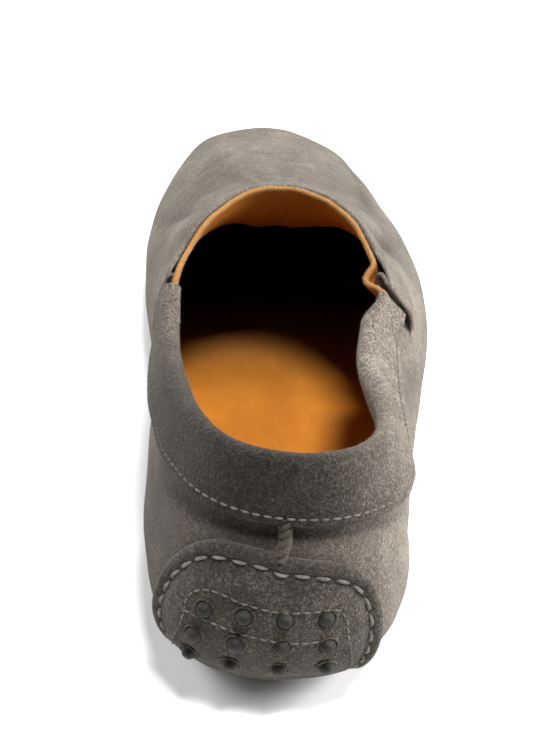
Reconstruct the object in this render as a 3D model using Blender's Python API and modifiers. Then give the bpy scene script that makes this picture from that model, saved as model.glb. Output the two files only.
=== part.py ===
"""Driving moccasin for the right foot: hollow suede upper, folded collar band, back tab, heel patch,
thin sole, insole and rubber studs. Metres, +Z up, toe towards +Y, outer side of the foot towards +X.

Every soft piece comes from one surface, last_point(place, level). place goes once round the shoe
through the rows of SECTIONS; level is -1 on the lasting edge, 0 on the widest line, 1 on the topline.
"""
import math

import bmesh
import bpy
import numpy as np

MM = 0.001
OBJECT_NAME = "moccasin_loafer"

# Driving sizes of the shoe, in metres.
LENGTH = 286 * MM
BALL_WIDTH = 95 * MM
INSTEP_HEIGHT = 78 * MM

# Sizes that SECTIONS is written for, in millimetres.
NOMINAL_LENGTH = 286
NOMINAL_WIDTH = 95
NOMINAL_HEIGHT = 78

# Materials and fits.
WALL = 2.4 * MM
FIT_GAP = 0.3 * MM
SOLE_THICKNESS = 3.0 * MM
STUD_HEIGHT = 2.9 * MM

# Underside of the upper: flat heel, arch, flat forefoot, toe spring.
GROUND_CLEARANCE = STUD_HEIGHT + FIT_GAP + SOLE_THICKNESS + FIT_GAP
ARCH_START = 84 * MM
ARCH_END = 146 * MM
ARCH_RISE = 3.0 * MM
SPRING_START = 214 * MM
TOE_SPRING = 10 * MM

# A row for each section, from the back of the heel to the toe, in millimetres.
# out_*: widest line of the wall, with its height bulge; tuck: how far the wall turns in underneath.
# top_*: topline, outer side lower by cant and inner side higher by it.
# rise, reach and drop shape the wall between the two: straight up from the widest line,
# then outwards and down from the topline.
SECTION_COLUMNS = ("name", "out_y", "out_lateral", "out_medial", "bulge", "tuck", "rise",
                   "top_y", "top_lateral", "top_medial", "top_z", "cant", "reach", "drop")
SECTIONS = (
    ("heel_back",     0,    0,    0, 29.0, 22, 15,  11.0,  0.0,  0.0, 68.0,  0.0,  1.5, 14),
    ("heel_quarter",  5,   20,   20, 28.0, 21, 15,  15.5, 14.5, 14.0, 67.5,  1.0,  1.5, 14),
    ("heel_side",    19,   29,   30, 26.0, 17, 15,  30.0, 23.5, 22.5, 64.5,  2.0,  2.0, 13),
    ("heel_front",   42,   32,   34, 24.0, 13, 14,  50.0, 25.5, 27.0, 60.0,  2.5,  2.5, 12),
    ("waist_back",   72,   37,   35, 23.0, 13, 14,  72.0, 23.5, 30.0, 56.5,  1.5,  2.5, 11),
    ("waist",       102,   43,   36, 22.5, 13, 13,  92.0, 26.0, 31.0, 57.0,  0.5,  3.0, 11),
    ("waist_front", 132,   49,   38, 21.5, 12, 13, 106.0, 28.0, 29.5, 64.0,  0.0,  8.0, 10),
    ("ball_back",   163,   52,   42, 20.5, 12, 14, 118.5, 24.0, 24.0, 72.0, -0.5, 13.0, 13),
    ("ball",        194,   51,   44, 20.0, 12, 15, 127.0, 16.5, 16.5, 76.0, -0.5, 24.0, 16),
    ("ball_front",  222,   45,   43, 21.0, 12, 17, 131.5, 10.0, 10.0, 77.5,  0.0, 33.0, 18),
    ("toe_side",    251,   36,   37, 23.0, 13, 21, 133.5,  5.0,  5.0, 78.0,  0.0, 39.0, 19),
    ("toe_corner",  274,   23,   27, 25.0, 14, 25, 134.0,  2.5,  2.5, 78.0,  0.0, 43.0, 19),
    ("toe",         286,   -2,    2, 26.0, 15, 26, 134.0,  0.0,  0.0, 78.0,  0.0, 44.0, 19),
)
TOE_PLACE = len(SECTIONS) - 1
RING_LENGTH = 2 * TOE_PLACE
HEEL_CENTRE_Y = 40 * MM
TOE_CENTRE_Y = 222 * MM

# Tucks where the vamp meets the collar: place on the outer side, mirrored on the inner side.
TUCK_PLACE = 5.55
TUCK_WIDTH = 0.22
TUCK_DEPTH = 3.0 * MM
LIP_PLACE = 6.05
LIP_WIDTH = 0.35
LIP_FLARE = 1.5 * MM
TUCK_FOOT_LEVEL = 0.35

# Mesh density: columns between two sections, and levels of the wall.
COLUMNS_PER_SECTION = 3
WALL_LEVELS = (-1, -0.84, -0.68, -0.52, -0.36, -0.18, 0, 0.14, 0.28, 0.42, 0.56, 0.7, 0.85, 1)

# Collar band: mesh column of its front ends, thickness, height on the outside and inside.
BAND_END_COLUMN = 16
BAND_THICKNESS = 1.2 * MM
BAND_HEIGHT = 13 * MM
BAND_TURN_IN = 5 * MM
BAND_RISE_STEPS = 4

# Heel patch, set towards the inner side: middle and half width in places, lower level, top height,
# fall of the top for each place, corner size in height and in places, thickness of field and rim.
PATCH_MIDDLE = -0.34
PATCH_HALF = 1.42
PATCH_LOW_LEVEL = -0.6
PATCH_HEIGHT = 48.5 * MM
PATCH_TILT = 1.3 * MM
PATCH_CORNER = 17 * MM
PATCH_CORNER_PLACES = 0.78
PATCH_THICKNESS = 1.2 * MM
PATCH_GAP = 0.45 * MM
RIM_THICKNESS = 2.0 * MM
RIM_WIDTH = 3.5 * MM
RIM_SLOPE = 0.6 * MM

# Back tab on the heel seam.
TAB_WIDTH = 4.5 * MM
TAB_TOP = 53.5 * MM
TAB_THICKNESS = 1.2 * MM

# Sole and insole.
SOLE_EDGE_LEVEL = -0.64
INSOLE_THICKNESS = 2.0 * MM
INSOLE_EDGE_LEVEL = -0.72
PLUG_INSET = 0.6 * MM

# Studs: base, shoulder and flat tip; those on the heel patch stand out less.
STUD_RADIUS = 2.3 * MM
STUD_SHOULDER = 1.9 * MM
STUD_TIP = 1.2 * MM
STUD_SIDES = 8
BACK_STUD_HEIGHT = 1.8 * MM
# Rows on the heel patch: level, place of the first stud, places between studs.
BACK_ROWS = (
    ("back_a", 0.155, -0.83, 0.41),
    ("back_b", -0.015, -0.94, 0.455),
    ("back_c", -0.225, -1.05, 0.50),
)
BACK_COUNT = 4
# Rows under the sole: distance from the heel, number of studs, half width of the row, in millimetres.
SOLE_ROWS = (
    ("heel_a", 22, 4, 18), ("heel_b", 35, 4, 20), ("heel_c", 48, 4, 20), ("heel_d", 61, 3, 14),
    ("fore_a", 150, 4, 24), ("fore_b", 164, 5, 30), ("fore_c", 178, 5, 32), ("fore_d", 192, 5, 32),
    ("fore_e", 206, 4, 24),
)

SUEDE = ("suede", (0.165, 0.140, 0.118), 0.95)
SUEDE_BAND = ("suede_band", (0.150, 0.127, 0.106), 0.95)
SUEDE_SOLE = ("suede_sole", (0.120, 0.102, 0.086), 0.95)
TAN_LEATHER = ("tan_leather", (0.560, 0.240, 0.050), 0.55)
RUBBER = ("rubber", (0.028, 0.028, 0.029), 0.60)


def clear_scene():
    """Remove what the scene holds."""
    for item in list(bpy.data.objects):
        bpy.data.objects.remove(item, do_unlink=True)


def section_ring():
    """SECTIONS as a closed ring in metres: heel, outer side, toe, inner side."""
    along = LENGTH / NOMINAL_LENGTH
    across = BALL_WIDTH / NOMINAL_WIDTH
    upward = INSTEP_HEIGHT / NOMINAL_HEIGHT
    sides = [(row, 1) for row in SECTIONS]
    sides += [(row, -1) for row in SECTIONS[-2:0:-1]]
    ring = []
    for row, side in sides:
        size = dict(zip(SECTION_COLUMNS, row))
        out_x = size["out_lateral"] if side > 0 else -size["out_medial"]
        top_x = size["top_lateral"] if side > 0 else -size["top_medial"]
        top_z = size["top_z"] - side * size["cant"]
        ring.append((out_x * across, size["out_y"] * along, size["bulge"] * upward, size["tuck"] * across,
                     size["rise"] * upward, top_x * across, size["top_y"] * along, top_z * upward,
                     size["reach"] * across, size["drop"] * upward))
    return np.array(ring)


RING = section_ring()


def ring_values(place):
    """Section sizes at any place round the shoe, on a closed Catmull-Rom curve through the rows."""
    place = np.asarray(place, float) % RING_LENGTH
    row = np.floor(place).astype(int)
    part = (place - row)[..., None]
    before, here, after, beyond = (RING[(row + step) % RING_LENGTH] for step in (-1, 0, 1, 2))
    slope = after - before
    bend = 2 * before - 5 * here + 4 * after - beyond
    twist = 3 * here - before - 3 * after + beyond
    return 0.5 * (2 * here + slope * part + bend * part ** 2 + twist * part ** 3)


def underside(y):
    """Height of the upper's underside at a distance from the heel."""
    scale = LENGTH / (NOMINAL_LENGTH * MM)
    arch = np.clip((y / scale - ARCH_START) / (ARCH_END - ARCH_START), 0, 1)
    spring = np.clip((y / scale - SPRING_START) / (NOMINAL_LENGTH * MM - SPRING_START), 0, 1)
    return GROUND_CLEARANCE + ARCH_RISE * np.sin(math.pi * arch) ** 2 + TOE_SPRING * spring ** 2


def plain_point(place, level):
    """The last's outer surface without the tucks."""
    place, level = np.broadcast_arrays(np.asarray(place, float), np.asarray(level, float))
    sizes = np.moveaxis(ring_values(place), -1, 0)
    out_x, out_y, bulge, tuck, rise, top_x, top_y, top_z, reach, drop = sizes
    widest = np.stack((out_x, out_y, bulge), -1)
    topline = np.stack((top_x, top_y, top_z), -1)
    outward = widest[..., :2] - topline[..., :2]
    outward = outward / np.linalg.norm(outward, axis=-1, keepdims=True)
    above = widest + np.stack((0 * rise, 0 * rise, rise), -1)
    below = topline + np.concatenate((outward * reach[..., None], -drop[..., None]), -1)
    s = np.clip(level, 0, 1)[..., None]
    wall = widest * (1 - s) ** 3 + 3 * above * s * (1 - s) ** 2
    wall = wall + 3 * below * s ** 2 * (1 - s) + topline * s ** 3

    centre_y = np.clip(out_y, HEEL_CENTRE_Y, TOE_CENTRE_Y)
    inward = np.stack((-out_x, centre_y - out_y), -1)
    inward = inward / np.linalg.norm(inward, axis=-1, keepdims=True)
    edge = widest[..., :2] + inward * tuck[..., None]
    edge_z = underside(edge[..., 1])
    turn = np.clip(-level, 0, 1) * math.pi / 2
    under_xy = widest[..., :2] + inward * (tuck * (1 - np.cos(turn)))[..., None]
    under_z = bulge - (bulge - edge_z) * np.sin(turn)
    under = np.concatenate((under_xy, under_z[..., None]), -1)
    return np.where((level < 0)[..., None], under, wall)


def plain_normal(place, level):
    """Outward direction of the plain surface."""
    step = 1e-3
    low = np.maximum(np.asarray(level, float) - step, -1)
    high = np.minimum(np.asarray(level, float) + step, 1)
    upward = plain_point(place, high) - plain_point(place, low)
    along = plain_point(np.asarray(place) + step, level) - plain_point(np.asarray(place) - step, level)
    normal = np.cross(along, upward)
    return normal / np.linalg.norm(normal, axis=-1, keepdims=True)


def tuck_shift(place, level):
    """How far the wall stands in or out at the throat corners."""
    side_place = np.abs((np.asarray(place, float) + TOE_PLACE) % RING_LENGTH - TOE_PLACE)
    fade = np.clip((np.asarray(level, float) - TUCK_FOOT_LEVEL) / (1 - TUCK_FOOT_LEVEL), 0, 1) ** 1.5
    trough = TUCK_DEPTH * np.exp(-((side_place - TUCK_PLACE) / TUCK_WIDTH) ** 2)
    lip = LIP_FLARE * np.exp(-((side_place - LIP_PLACE) / LIP_WIDTH) ** 2)
    return (lip - trough) * fade


def last_point(place, level, offset=0.0):
    """Outer surface of the upper, moved outwards by offset."""
    shift = tuck_shift(place, level) + offset
    return plain_point(place, level) + plain_normal(place, level) * np.asarray(shift)[..., None]


def level_at_height(place, height):
    """Level on the wall where it stands at a height above the floor."""
    levels = np.linspace(-1, 1, 401)
    heights = plain_point(np.full_like(levels, place), levels)[:, 2]
    return float(np.interp(height, heights, levels))


def level_below_topline(place, distance):
    """Level on the wall at a distance down from the topline."""
    levels = np.linspace(1, 0, 201)
    points = plain_point(np.full_like(levels, place), levels)
    run = np.concatenate(([0], np.cumsum(np.linalg.norm(np.diff(points, axis=0), axis=1))))
    return float(np.interp(distance, run, levels))


def make_material(finish):
    """Principled material from a name, colour and roughness."""
    name, colour, roughness = finish
    material = bpy.data.materials.get(name) or bpy.data.materials.new(name)
    material.use_nodes = True
    shader = material.node_tree.nodes["Principled BSDF"]
    shader.inputs["Base Color"].default_value = (*colour, 1)
    shader.inputs["Roughness"].default_value = roughness
    shader.inputs["Metallic"].default_value = 0
    return material


def make_object(name, vertices, faces, finish, collection):
    """Mesh object with its faces turned outwards together."""
    mesh = bpy.data.meshes.new(name)
    mesh.from_pydata([tuple(map(float, v)) for v in vertices], [], faces)
    mesh.materials.append(make_material(finish))
    item = bpy.data.objects.new(name, mesh)
    collection.objects.link(item)
    return item


def turn_outwards(item):
    """Make the faces of a closed mesh face out."""
    mesh = bmesh.new()
    mesh.from_mesh(item.data)
    bmesh.ops.recalc_face_normals(mesh, faces=mesh.faces)
    mesh.to_mesh(item.data)
    mesh.free()


def ring_faces(rings, columns):
    """Quads between closed rings that follow each other in the vertex list."""
    faces = []
    for ring in range(rings - 1):
        for column in range(columns):
            after = (column + 1) % columns
            faces.append((ring * columns + column, ring * columns + after,
                          (ring + 1) * columns + after, (ring + 1) * columns + column))
    return faces


def cross_fill(ring_points, first_index, strips, height_at):
    """Close a ring with rows across the shoe; gives the added points and the faces."""
    columns = len(ring_points)
    half = columns // 2
    points = []
    faces = []
    rows = []
    for station in range(1, half):
        lateral, medial = station, columns - station
        row = [first_index + lateral]
        for strip in range(1, strips):
            spot = ring_points[lateral] + (ring_points[medial] - ring_points[lateral]) * strip / strips
            spot = np.array((spot[0], spot[1], height_at(spot[1])))
            row.append(("new", len(points)))
            points.append(spot)
        row.append(first_index + medial)
        rows.append(row)
    for near, far in zip(rows[:-1], rows[1:]):
        for strip in range(strips):
            faces.append((near[strip], near[strip + 1], far[strip + 1], far[strip]))
    for strip in range(strips):
        faces.append((first_index, rows[0][strip + 1], rows[0][strip]))
        faces.append((first_index + half, rows[-1][strip], rows[-1][strip + 1]))
    return points, faces


def number_faces(faces, first_new):
    """Give the points that cross_fill added their place in the vertex list."""
    return [tuple(first_new + c[1] if isinstance(c, tuple) else c for c in face) for face in faces]


def shoe_columns():
    """Places of the mesh columns round the shoe."""
    return np.arange(RING_LENGTH * COLUMNS_PER_SECTION) / COLUMNS_PER_SECTION


def build_upper(collection):
    """Open surface over the last, made hollow with Solidify towards the foot."""
    places = shoe_columns()
    rings = [last_point(places, np.full_like(places, level)) for level in WALL_LEVELS]
    faces = ring_faces(len(rings), len(places))
    upper = make_object("upper", np.concatenate(rings), faces, SUEDE, collection)
    shell = upper.modifiers.new("wall", 'SOLIDIFY')
    shell.thickness = WALL
    shell.offset = -1
    shell.use_even_offset = True
    return upper


def build_sole(collection):
    """Thin bottom that cups the lasting edge, made solid with Solidify towards the floor."""
    places = shoe_columns()
    levels = np.linspace(SOLE_EDGE_LEVEL, -1, 4)
    rings = [last_point(places, np.full_like(places, level), FIT_GAP) for level in levels]
    faces = ring_faces(len(rings), len(places))
    first = (len(rings) - 1) * len(places)
    extra, fill = cross_fill(rings[-1], first, 4, lambda y: underside(y) - FIT_GAP)
    vertices = np.concatenate(rings + [np.array(extra)])
    faces += number_faces(fill, len(rings) * len(places))
    sole = make_object("sole", vertices, faces, SUEDE_SOLE, collection)
    mesh = bmesh.new()
    mesh.from_mesh(sole.data)
    bmesh.ops.recalc_face_normals(mesh, faces=mesh.faces)
    lowest = min(mesh.faces, key=lambda face: face.calc_center_median().z)
    if lowest.normal.z > 0:
        bmesh.ops.reverse_faces(mesh, faces=mesh.faces)
    mesh.to_mesh(sole.data)
    mesh.free()
    sheet = sole.modifiers.new("sheet", 'SOLIDIFY')
    sheet.thickness = SOLE_THICKNESS
    sheet.offset = 1
    sheet.use_even_offset = True
    return sole


def build_insole(collection):
    """Sock on its board: lies on the turned-in wall and fills the opening between its edges."""
    places = shoe_columns()
    inside = -(WALL + FIT_GAP)

    def ring(level, offset):
        return last_point(places, np.full_like(places, level), offset)

    edge_low = ring(INSOLE_EDGE_LEVEL, inside)
    edge_high = ring(INSOLE_EDGE_LEVEL, inside - INSOLE_THICKNESS)
    shelf = ring(-1, inside)
    inner = ring(-1, 0) - shelf
    centre = np.stack((0 * places, np.clip(shelf[:, 1], HEEL_CENTRE_Y, TOE_CENTRE_Y), 0 * places), -1)
    inward = centre - shelf
    inward[:, 2] = 0
    inward = inward / np.linalg.norm(inward, axis=1, keepdims=True)
    plug_high = shelf + inward * PLUG_INSET
    plug_low = plug_high + inner
    top = ring(-1, inside - INSOLE_THICKNESS)
    rings = [top, edge_high, edge_low, shelf, plug_high, plug_low]
    count = len(places)
    faces = ring_faces(len(rings), count)
    rise = WALL + FIT_GAP + INSOLE_THICKNESS
    top_extra, top_fill = cross_fill(top, 0, 4, lambda y: underside(y) + rise)
    low_extra, low_fill = cross_fill(plug_low, (len(rings) - 1) * count, 4, underside)
    first_new = len(rings) * count
    faces += number_faces(top_fill, first_new)
    faces += number_faces(low_fill, first_new + len(top_extra))
    vertices = np.concatenate(rings + [np.array(top_extra), np.array(low_extra)])
    insole = make_object("insole", vertices, faces, TAN_LEATHER, collection)
    turn_outwards(insole)
    return insole


def sheet_object(name, inner, outer, finish, collection):
    """Closed sheet between two grids of points (rows, columns, 3)."""
    rows, columns = inner.shape[:2]
    vertices = np.concatenate((inner.reshape(-1, 3), outer.reshape(-1, 3)))
    shift = rows * columns
    faces = []
    for row in range(rows - 1):
        for column in range(columns - 1):
            corners = [row * columns + column, row * columns + column + 1,
                       (row + 1) * columns + column + 1, (row + 1) * columns + column]
            faces.append(tuple(corners[::-1]))
            faces.append(tuple(c + shift for c in corners))
    border = list(range(columns - 1))
    border += [row * columns + columns - 1 for row in range(rows - 1)]
    border += [(rows - 1) * columns + column for column in range(columns - 1, 0, -1)]
    border += [row * columns for row in range(rows - 1, 0, -1)]
    for here, after in zip(border, border[1:] + border[:1]):
        faces.append((here, after, after + shift, here + shift))
    item = make_object(name, vertices, faces, finish, collection)
    turn_outwards(item)
    return item


def build_collar_band(collection):
    """Band folded over the topline: outer leg, round top, short inner leg."""
    places = np.arange(-BAND_END_COLUMN, BAND_END_COLUMN + 1) / COLUMNS_PER_SECTION
    top = last_point(places, np.ones_like(places))
    out = plain_normal(places, np.ones_like(places))
    below = last_point(places, np.full_like(places, 0.97))
    up = top - below
    up = up / np.linalg.norm(up, axis=1, keepdims=True)
    half = WALL / 2 + FIT_GAP
    ridge = top - out * WALL / 2

    def fold(reach):
        """Path over the top at a reach from the middle of the wall's edge, outside to inside."""
        rings = []
        for share in np.linspace(0, 1, BAND_RISE_STEPS + 1)[:-1]:
            levels = [level_below_topline(p, BAND_HEIGHT * (1 - share)) for p in places]
            rings.append(last_point(places, np.array(levels), reach - WALL / 2))
        for angle in np.radians((10, 50, 90, 130, 170)):
            rings.append(ridge + out * reach * math.cos(angle) + up * (reach * math.sin(angle)))
        levels = [level_below_topline(p, BAND_TURN_IN) for p in places]
        rings.append(last_point(places, np.array(levels), -reach - WALL / 2))
        return np.array(rings)

    return sheet_object("collar_band", fold(half), fold(half + BAND_THICKNESS), SUEDE_BAND, collection)


def patch_half(height):
    """Half width of the heel patch in places at a height: straight sides and round top corners."""
    corner = np.clip((height - (PATCH_HEIGHT - PATCH_CORNER)) / PATCH_CORNER, 0, 1)
    return PATCH_HALF - PATCH_CORNER_PLACES * (1 - np.sqrt(1 - corner ** 2))


def build_heel_patch(collection):
    """Patch up the back of the heel with a raised sewn rim on its sides and top."""
    field_top = PATCH_HEIGHT - RIM_WIDTH
    low = float(plain_point(0, PATCH_LOW_LEVEL)[2])
    turns = np.radians((0, 20, 38, 68, 79, 90))
    heights = np.sort(np.concatenate((np.linspace(low, PATCH_HEIGHT - PATCH_CORNER, 7)[:-1],
                                      PATCH_HEIGHT - PATCH_CORNER * (1 - np.sin(turns)),
                                      (field_top - RIM_SLOPE, field_top))))
    place_length = np.linalg.norm(plain_point(1, 0) - plain_point(0, 0))
    rim = RIM_WIDTH / place_length
    slope = RIM_SLOPE / place_length
    rows = []
    thickness = []
    for height in heights:
        half = patch_half(height)
        field = np.linspace(-1, 1, 11) * (half - rim - slope)
        places = np.concatenate(((-half, -half + rim), field, (half - rim, half)))
        rows.append(places + PATCH_MIDDLE)
        raised = np.ones_like(places) * (height > field_top - RIM_SLOPE / 2)
        raised[[0, 1, -2, -1]] = 1
        thickness.append(np.where(raised > 0, RIM_THICKNESS, PATCH_THICKNESS))
    places = np.array(rows)
    levels = []
    for row, height in zip(rows, heights):
        fall = PATCH_TILT * (height - low) / (PATCH_HEIGHT - low)
        levels.append([level_at_height(place, height - fall * (place - PATCH_MIDDLE)) for place in row])
    levels = np.array(levels)
    inner = last_point(places, levels, PATCH_GAP)
    outer = last_point(places, levels, PATCH_GAP + np.array(thickness))
    return sheet_object("heel_patch", inner, outer, SUEDE, collection)


def build_back_tab(collection):
    """Raised strip on the back seam, from the heel patch to the collar band."""
    low = level_at_height(0, PATCH_HEIGHT + PATCH_TILT * PATCH_MIDDLE + 3 * FIT_GAP)
    high = level_at_height(0, TAB_TOP)
    levels = np.linspace(low, high, 4)
    half = TAB_WIDTH / 2 / np.linalg.norm(plain_point(1, 0.4) - plain_point(0, 0.4))
    places, grid_levels = np.meshgrid(np.linspace(-half, half, 3), levels)
    inner = last_point(places, grid_levels, FIT_GAP)
    outer = last_point(places, grid_levels, FIT_GAP + TAB_THICKNESS)
    return sheet_object("back_tab", inner, outer, SUEDE, collection)


def stud_solid(name, base, direction, tall, collection):
    """Rubber pebble with a flat tip, standing on base along direction."""
    direction = direction / np.linalg.norm(direction)
    helper = np.array((0.0, 1.0, 0.0)) if abs(direction[1]) < 0.9 else np.array((1.0, 0.0, 0.0))
    side = np.cross(helper, direction)
    side = side / np.linalg.norm(side)
    other = np.cross(direction, side)
    turns = np.arange(STUD_SIDES) * 2 * math.pi / STUD_SIDES
    rings = []
    for radius, height in ((STUD_RADIUS, 0), (STUD_SHOULDER, tall * 0.68), (STUD_TIP, tall)):
        circle = np.outer(np.cos(turns), side) + np.outer(np.sin(turns), other)
        rings.append(base + direction * height + circle * radius)
    faces = ring_faces(3, STUD_SIDES)
    faces.append(tuple(range(STUD_SIDES)))
    faces.append(tuple(range(2 * STUD_SIDES, 3 * STUD_SIDES)))
    stud = make_object(name, np.concatenate(rings), faces, RUBBER, collection)
    turn_outwards(stud)
    return stud


def build_studs(collection):
    """Studs up the back of the heel and in rows under the sole."""
    lift = PATCH_GAP + PATCH_THICKNESS + FIT_GAP
    for row, level, first, step in BACK_ROWS:
        for number in range(1, BACK_COUNT + 1):
            place = first + step * (number - 1)
            base = last_point(np.array(place), np.array(level), lift)
            direction = plain_normal(np.array(place), np.array(level))
            stud_solid(f"stud_{row}_{number}", base, direction, BACK_STUD_HEIGHT, collection)
    for row, y, count, half in SOLE_ROWS:
        scale = LENGTH / (NOMINAL_LENGTH * MM)
        centre_y = y * MM * scale
        middle = row_middle(centre_y)
        slope = (underside(centre_y + MM) - underside(centre_y - MM)) / (2 * MM)
        direction = np.array((0.0, slope, -1.0))
        for number, share in enumerate(np.linspace(-1, 1, count), 1):
            spot = np.array((middle + share * half * MM, centre_y, underside(centre_y)))
            unit = direction / np.linalg.norm(direction)
            base = spot + unit * (FIT_GAP + SOLE_THICKNESS + FIT_GAP)
            stud_solid(f"stud_{row}_{number}", base, direction, STUD_HEIGHT, collection)


def row_middle(y):
    """Middle of the sole at a distance from the heel."""
    places = np.linspace(0, TOE_PLACE, 241)
    lateral = plain_point(places, np.zeros_like(places))
    medial = plain_point(-places, np.zeros_like(places))
    return 0.5 * (np.interp(y, lateral[:, 1], lateral[:, 0]) + np.interp(y, medial[:, 1], medial[:, 0]))


def centre_on_floor(collection):
    """Carry all pieces on one empty so that the middle of the shoe's box is over the origin."""
    bpy.context.view_layer.update()
    corners = []
    depsgraph = bpy.context.evaluated_depsgraph_get()
    for item in collection.objects:
        mesh = item.evaluated_get(depsgraph).data
        corners += [tuple(v.co) for v in mesh.vertices]
    corners = np.array(corners)
    low = corners.min(0)
    high = corners.max(0)
    carrier = bpy.data.objects.new("shoe_origin", None)
    for item in list(collection.objects):
        item.parent = carrier
    collection.objects.link(carrier)
    carrier.location = (-(low[0] + high[0]) / 2, -(low[1] + high[1]) / 2, -low[2])


def main():
    clear_scene()
    collection = bpy.data.collections.new(OBJECT_NAME)
    bpy.context.scene.collection.children.link(collection)
    build_upper(collection)
    build_collar_band(collection)
    build_back_tab(collection)
    build_heel_patch(collection)
    build_sole(collection)
    build_insole(collection)
    build_studs(collection)
    centre_on_floor(collection)


main()
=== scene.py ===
"""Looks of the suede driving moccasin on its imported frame: right shoe, +Y to the toe, +X to the outer side.

Every soft piece is cut from the same surface as the part, last_point(place, level): place goes once round
the shoe through the rows of SECTIONS. Level is -1 on the lasting edge, 0 on the widest line and 1 on the
topline.
"""
import math

import bmesh
import bpy
import numpy as np
from mathutils import Matrix, Vector


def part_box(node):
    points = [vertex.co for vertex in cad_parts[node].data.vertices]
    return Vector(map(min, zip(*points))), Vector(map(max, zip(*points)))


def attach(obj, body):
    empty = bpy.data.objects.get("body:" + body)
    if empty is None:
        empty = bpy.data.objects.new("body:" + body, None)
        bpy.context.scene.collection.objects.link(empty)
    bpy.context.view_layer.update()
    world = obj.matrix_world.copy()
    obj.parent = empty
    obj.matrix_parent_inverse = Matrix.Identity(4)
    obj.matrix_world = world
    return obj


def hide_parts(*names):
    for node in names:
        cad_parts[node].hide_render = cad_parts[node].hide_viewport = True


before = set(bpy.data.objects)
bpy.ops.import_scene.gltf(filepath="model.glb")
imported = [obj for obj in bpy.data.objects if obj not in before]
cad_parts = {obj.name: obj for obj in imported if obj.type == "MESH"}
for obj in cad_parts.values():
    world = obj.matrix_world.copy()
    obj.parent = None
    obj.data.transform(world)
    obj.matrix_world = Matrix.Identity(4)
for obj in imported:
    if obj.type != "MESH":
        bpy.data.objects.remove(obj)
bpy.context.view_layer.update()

MM = 0.001
# The part is modelled with its heel at y = 0 and then centred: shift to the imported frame.
SHIFT = np.array((-3.978, -141.115, 0.0)) * MM

# Shape of the shoe, in millimetres, as in the part.
SECTION_COLUMNS = ("name", "out_y", "out_lateral", "out_medial", "bulge", "tuck", "rise",
                   "top_y", "top_lateral", "top_medial", "top_z", "cant", "reach", "drop")
SECTIONS = (
    ("heel_back", 0, 0, 0, 29.0, 22, 15, 11.0, 0.0, 0.0, 68.0, 0.0, 1.5, 14),
    ("heel_quarter", 5, 20, 20, 28.0, 21, 15, 15.5, 14.5, 14.0, 67.5, 1.0, 1.5, 14),
    ("heel_side", 19, 29, 30, 26.0, 17, 15, 30.0, 23.5, 22.5, 64.5, 2.0, 2.0, 13),
    ("heel_front", 42, 32, 34, 24.0, 13, 14, 50.0, 25.5, 27.0, 60.0, 2.5, 2.5, 12),
    ("waist_back", 72, 37, 35, 23.0, 13, 14, 72.0, 23.5, 30.0, 56.5, 1.5, 2.5, 11),
    ("waist", 102, 43, 36, 22.5, 13, 13, 92.0, 26.0, 31.0, 57.0, 0.5, 3.0, 11),
    ("waist_front", 132, 49, 38, 21.5, 12, 13, 106.0, 28.0, 29.5, 64.0, 0.0, 8.0, 10),
    ("ball_back", 163, 52, 42, 20.5, 12, 14, 118.5, 24.0, 24.0, 72.0, -0.5, 13.0, 13),
    ("ball", 194, 51, 44, 20.0, 12, 15, 127.0, 16.5, 16.5, 76.0, -0.5, 24.0, 16),
    ("ball_front", 222, 45, 43, 21.0, 12, 17, 131.5, 10.0, 10.0, 77.5, 0.0, 33.0, 18),
    ("toe_side", 251, 36, 37, 23.0, 13, 21, 133.5, 5.0, 5.0, 78.0, 0.0, 39.0, 19),
    ("toe_corner", 274, 23, 27, 25.0, 14, 25, 134.0, 2.5, 2.5, 78.0, 0.0, 43.0, 19),
    ("toe", 286, -2, 2, 26.0, 15, 26, 134.0, 0.0, 0.0, 78.0, 0.0, 44.0, 19),
)
TOE_PLACE = len(SECTIONS) - 1
RING_LENGTH = 2 * TOE_PLACE
HEEL_CENTRE_Y = 40 * MM
TOE_CENTRE_Y = 222 * MM
TOE_Y = 286 * MM
GROUND_CLEARANCE = 6.5 * MM
ARCH_START, ARCH_END, ARCH_RISE = 84 * MM, 146 * MM, 3.0 * MM
SPRING_START, TOE_SPRING = 214 * MM, 10 * MM

# An ease below is a soft step: its start and its run, negative where it goes down. A span is two of them.

# Layers of the wall, outwards from the last's surface.
SUEDE_THICKNESS = 1.2 * MM
LINING_OUT, LINING_IN = -1.45 * MM, -2.65 * MM
LINING_PROUD = 1.0 * MM
SOLE_IN, SOLE_OUT, SOLE_EDGE_LEVEL = 0.3 * MM, 3.3 * MM, -0.64
INSOLE_LOW, INSOLE_HIGH, INSOLE_EDGE_LEVEL = -3.1 * MM, -4.7 * MM, -0.72

# Pleat at the throat corners. Columns: distance from the pleat in places before and after folding,
# lift in mm.
PLEAT = (
    (-0.90, -0.90, 0.0),
    (-0.48, -0.42, -0.7),
    (-0.28, -0.08, -1.15),
    (-0.18, 0.10, -1.0),
    (-0.12, 0.17, -0.4),
    (-0.07, 0.12, 0.5),
    (-0.02, -0.01, 1.4),
    (0.02, -0.06, 2.3),
    (0.07, -0.02, 3.1),
    (0.16, 0.12, 3.1),
    (0.32, 0.34, 2.1),
    (0.58, 0.62, 0.8),
    (1.00, 1.00, 0.0),
)
PLEAT_PLACE, PLEAT_BEND, PLEAT_BEND_EASE = 5.80, 0.25, (0.68, -0.26)
PLEAT_FOOT_EASE, PLEAT_INNER_SHARE = (0.42, 0.20), 0.5
# Under the band's outer end the suede is cut lower: share of the wall, span of distances before the pleat.
PLEAT_CUT, CUT_SPAN = 0.10, (0.10, 0.12, 0.85, -0.2)
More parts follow.
